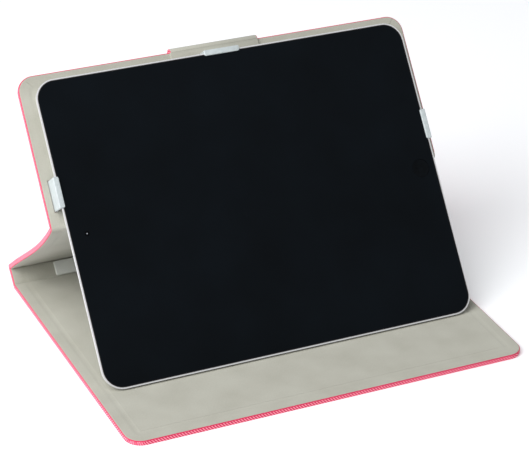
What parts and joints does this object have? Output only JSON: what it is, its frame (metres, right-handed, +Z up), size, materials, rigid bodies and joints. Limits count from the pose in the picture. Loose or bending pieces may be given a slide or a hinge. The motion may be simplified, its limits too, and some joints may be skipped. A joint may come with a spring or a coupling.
{
  "type": "tablet folio case",
  "caption": "Slim fabric folio tablet case that folds into a stand, with clips for the tablet and a folding magnetic closing tab; shown open with a tablet in place.",
  "frame": {"origin": "bottom centre of the whole case's box, on the table under the front cover", "axes": "+X along the fold lines, +Y back to the spine, +Z up"},
  "size_m": [0.254, 0.1996, 0.1515],
  "materials": {
    "outer_fabric": "coarse twill weave, matt",
    "lining": "fine brushed microfibre",
    "board": "raw greyboard",
    "foam": "thin foam wadding",
    "steel_plate": "bare sheet",
    "spine_bar": "fine moulded grain",
    "rivets": "bare",
    "clip_plastic": "satin moulded",
    "magnets": "nickel plated",
    "tablet_shell": "bead blasted",
    "tablet_glass": "polished dark glass",
    "camera_window": "polished",
    "home_key": "polished dark",
    "tablet_inside": "module casing"
  },
  "bodies": {
    "front_cover": {"front_cover_fabric": "outer_fabric", "front_cover_board": "board", "front_cover_wadding": "foam", "front_cover_lining": "lining", "closure_plate": "steel_plate", "front_crease": "outer_fabric"},
    "spine": {"spine_fabric": "outer_fabric", "spine_board": "board", "spine_wadding": "foam", "spine_lining": "lining", "spine_bar": "spine_bar", "rear_crease": "outer_fabric"},
    "rear_flap": {"flap_fabric": "outer_fabric", "flap_board": "board", "flap_wadding": "foam", "flap_lining": "lining", "panel_crease": "lining"},
    "upper_panel": {"panel_fabric": "outer_fabric", "panel_board": "board", "panel_wadding": "foam", "panel_lining": "lining", "left_clip": "clip_plastic", "right_clip": "clip_plastic", "top_clip": "clip_plastic", "clip_rivets": "rivets", "tab_anchor": "lining", "tab_root_crease": "lining", "tablet_shell": "tablet_shell", "tablet_glass": "tablet_glass", "tablet_camera_window": "camera_window", "tablet_display": "tablet_inside", "tablet_battery": "tablet_inside"},
    "home_key": {"tablet_home_key": "home_key"},
    "tab_root": {"tab_root_band": "lining", "tab_close_crease": "outer_fabric"},
    "tab_strap": {"tab_strap_fabric": "outer_fabric", "tab_strap_lining": "lining", "tab_flap_crease": "outer_fabric"},
    "tab_flap": {"tab_flap_fabric": "outer_fabric", "tab_flap_board": "board", "tab_flap_lining": "lining", "tab_magnets": "magnets"}
  },
  "joints": [
    {"name": "panel_fold", "type": "hinge", "parent": "rear_flap", "child": "upper_panel", "pos_m": [0, 0.02293, 0.07607], "axis": [1, 0, 0], "range_deg": [0, 87.65], "deforming": ["panel_crease"]},
    {"name": "spine_fold", "type": "hinge", "parent": "front_cover", "child": "spine", "pos_m": [0, 0.08958, 0.0016], "axis": [1, 0, 0], "range_deg": [-47.01, 0], "deforming": ["front_crease"]},
    {"name": "flap_fold", "type": "hinge", "parent": "spine", "child": "rear_flap", "pos_m": [0, 0.09822, 0.01086], "axis": [1, 0, 0], "range_deg": [-92.11, 0], "deforming": ["rear_crease"]},
    {"name": "tab_lift", "type": "hinge", "parent": "upper_panel", "child": "tab_root", "pos_m": [0, 0.07958, 0.14716], "axis": [1, 0, 0], "range_deg": [0, 175], "deforming": ["tab_root_crease"]},
    {"name": "tab_close", "type": "hinge", "parent": "tab_root", "child": "tab_strap", "pos_m": [0, 0.08019, 0.14335], "axis": [1, 0, 0], "range_deg": [0, 95], "deforming": ["tab_close_crease"]},
    {"name": "tab_flap_fold", "type": "hinge", "parent": "tab_strap", "child": "tab_flap", "pos_m": [0, 0.07172, 0.13272], "axis": [1, 0, 0], "range_deg": [0, 90], "deforming": ["tab_flap_crease"]},
    {"name": "home_key_press", "type": "slide", "parent": "upper_panel", "child": "home_key", "axis": [0, -0.7821, 0.6232], "range_m": [-0.0004, 0], "stiffness_N_per_m": 400, "springref_m": 0.0005}
  ],
  "couplings": [
    {"joint": "spine_fold", "follows": "panel_fold", "ratio": -0.53622},
    {"joint": "flap_fold", "follows": "panel_fold", "ratio": -1.0508}
  ]
}
